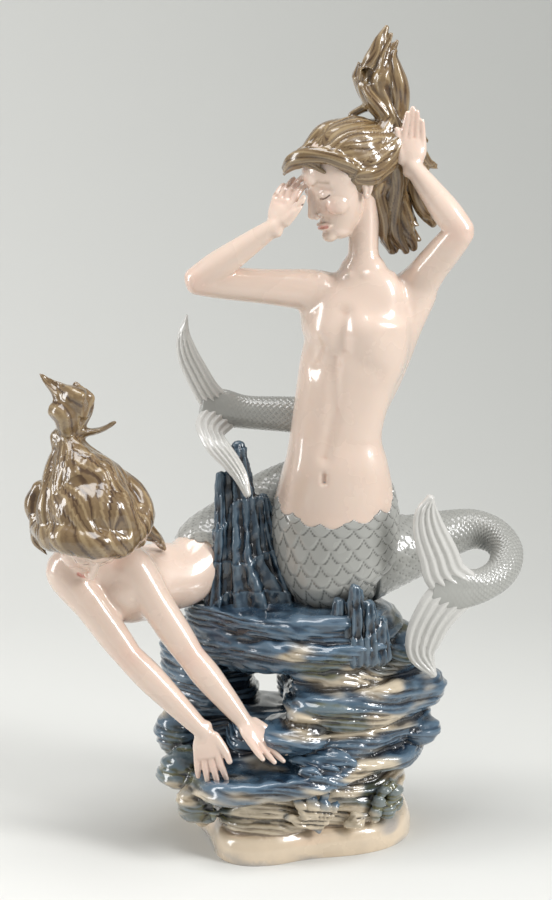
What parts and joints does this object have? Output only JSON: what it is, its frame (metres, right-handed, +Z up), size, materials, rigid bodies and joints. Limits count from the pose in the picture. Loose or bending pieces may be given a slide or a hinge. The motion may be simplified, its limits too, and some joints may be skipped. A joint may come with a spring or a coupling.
{
  "type": "mermaid figurine",
  "caption": "Tall glazed porcelain group of a seated mermaid with raised arms and a second mermaid leaning over a craggy rock with a flat foot, for display on a shelf or table",
  "frame": {"origin": "middle of the flat underside of the foot, where it rests on a shelf", "axes": "+Z up, +X to the viewer's right as the group is seen from the front, +Y away from the viewer"},
  "size_m": [0.3096, 0.1422, 0.5162],
  "materials": {
    "glazed_porcelain": "white-bodied porcelain painted in underglaze colours, under a clear high-gloss glaze"
  },
  "bodies": {
    "root": {"figurine": "glazed_porcelain"}
  },
  "joints": []
}
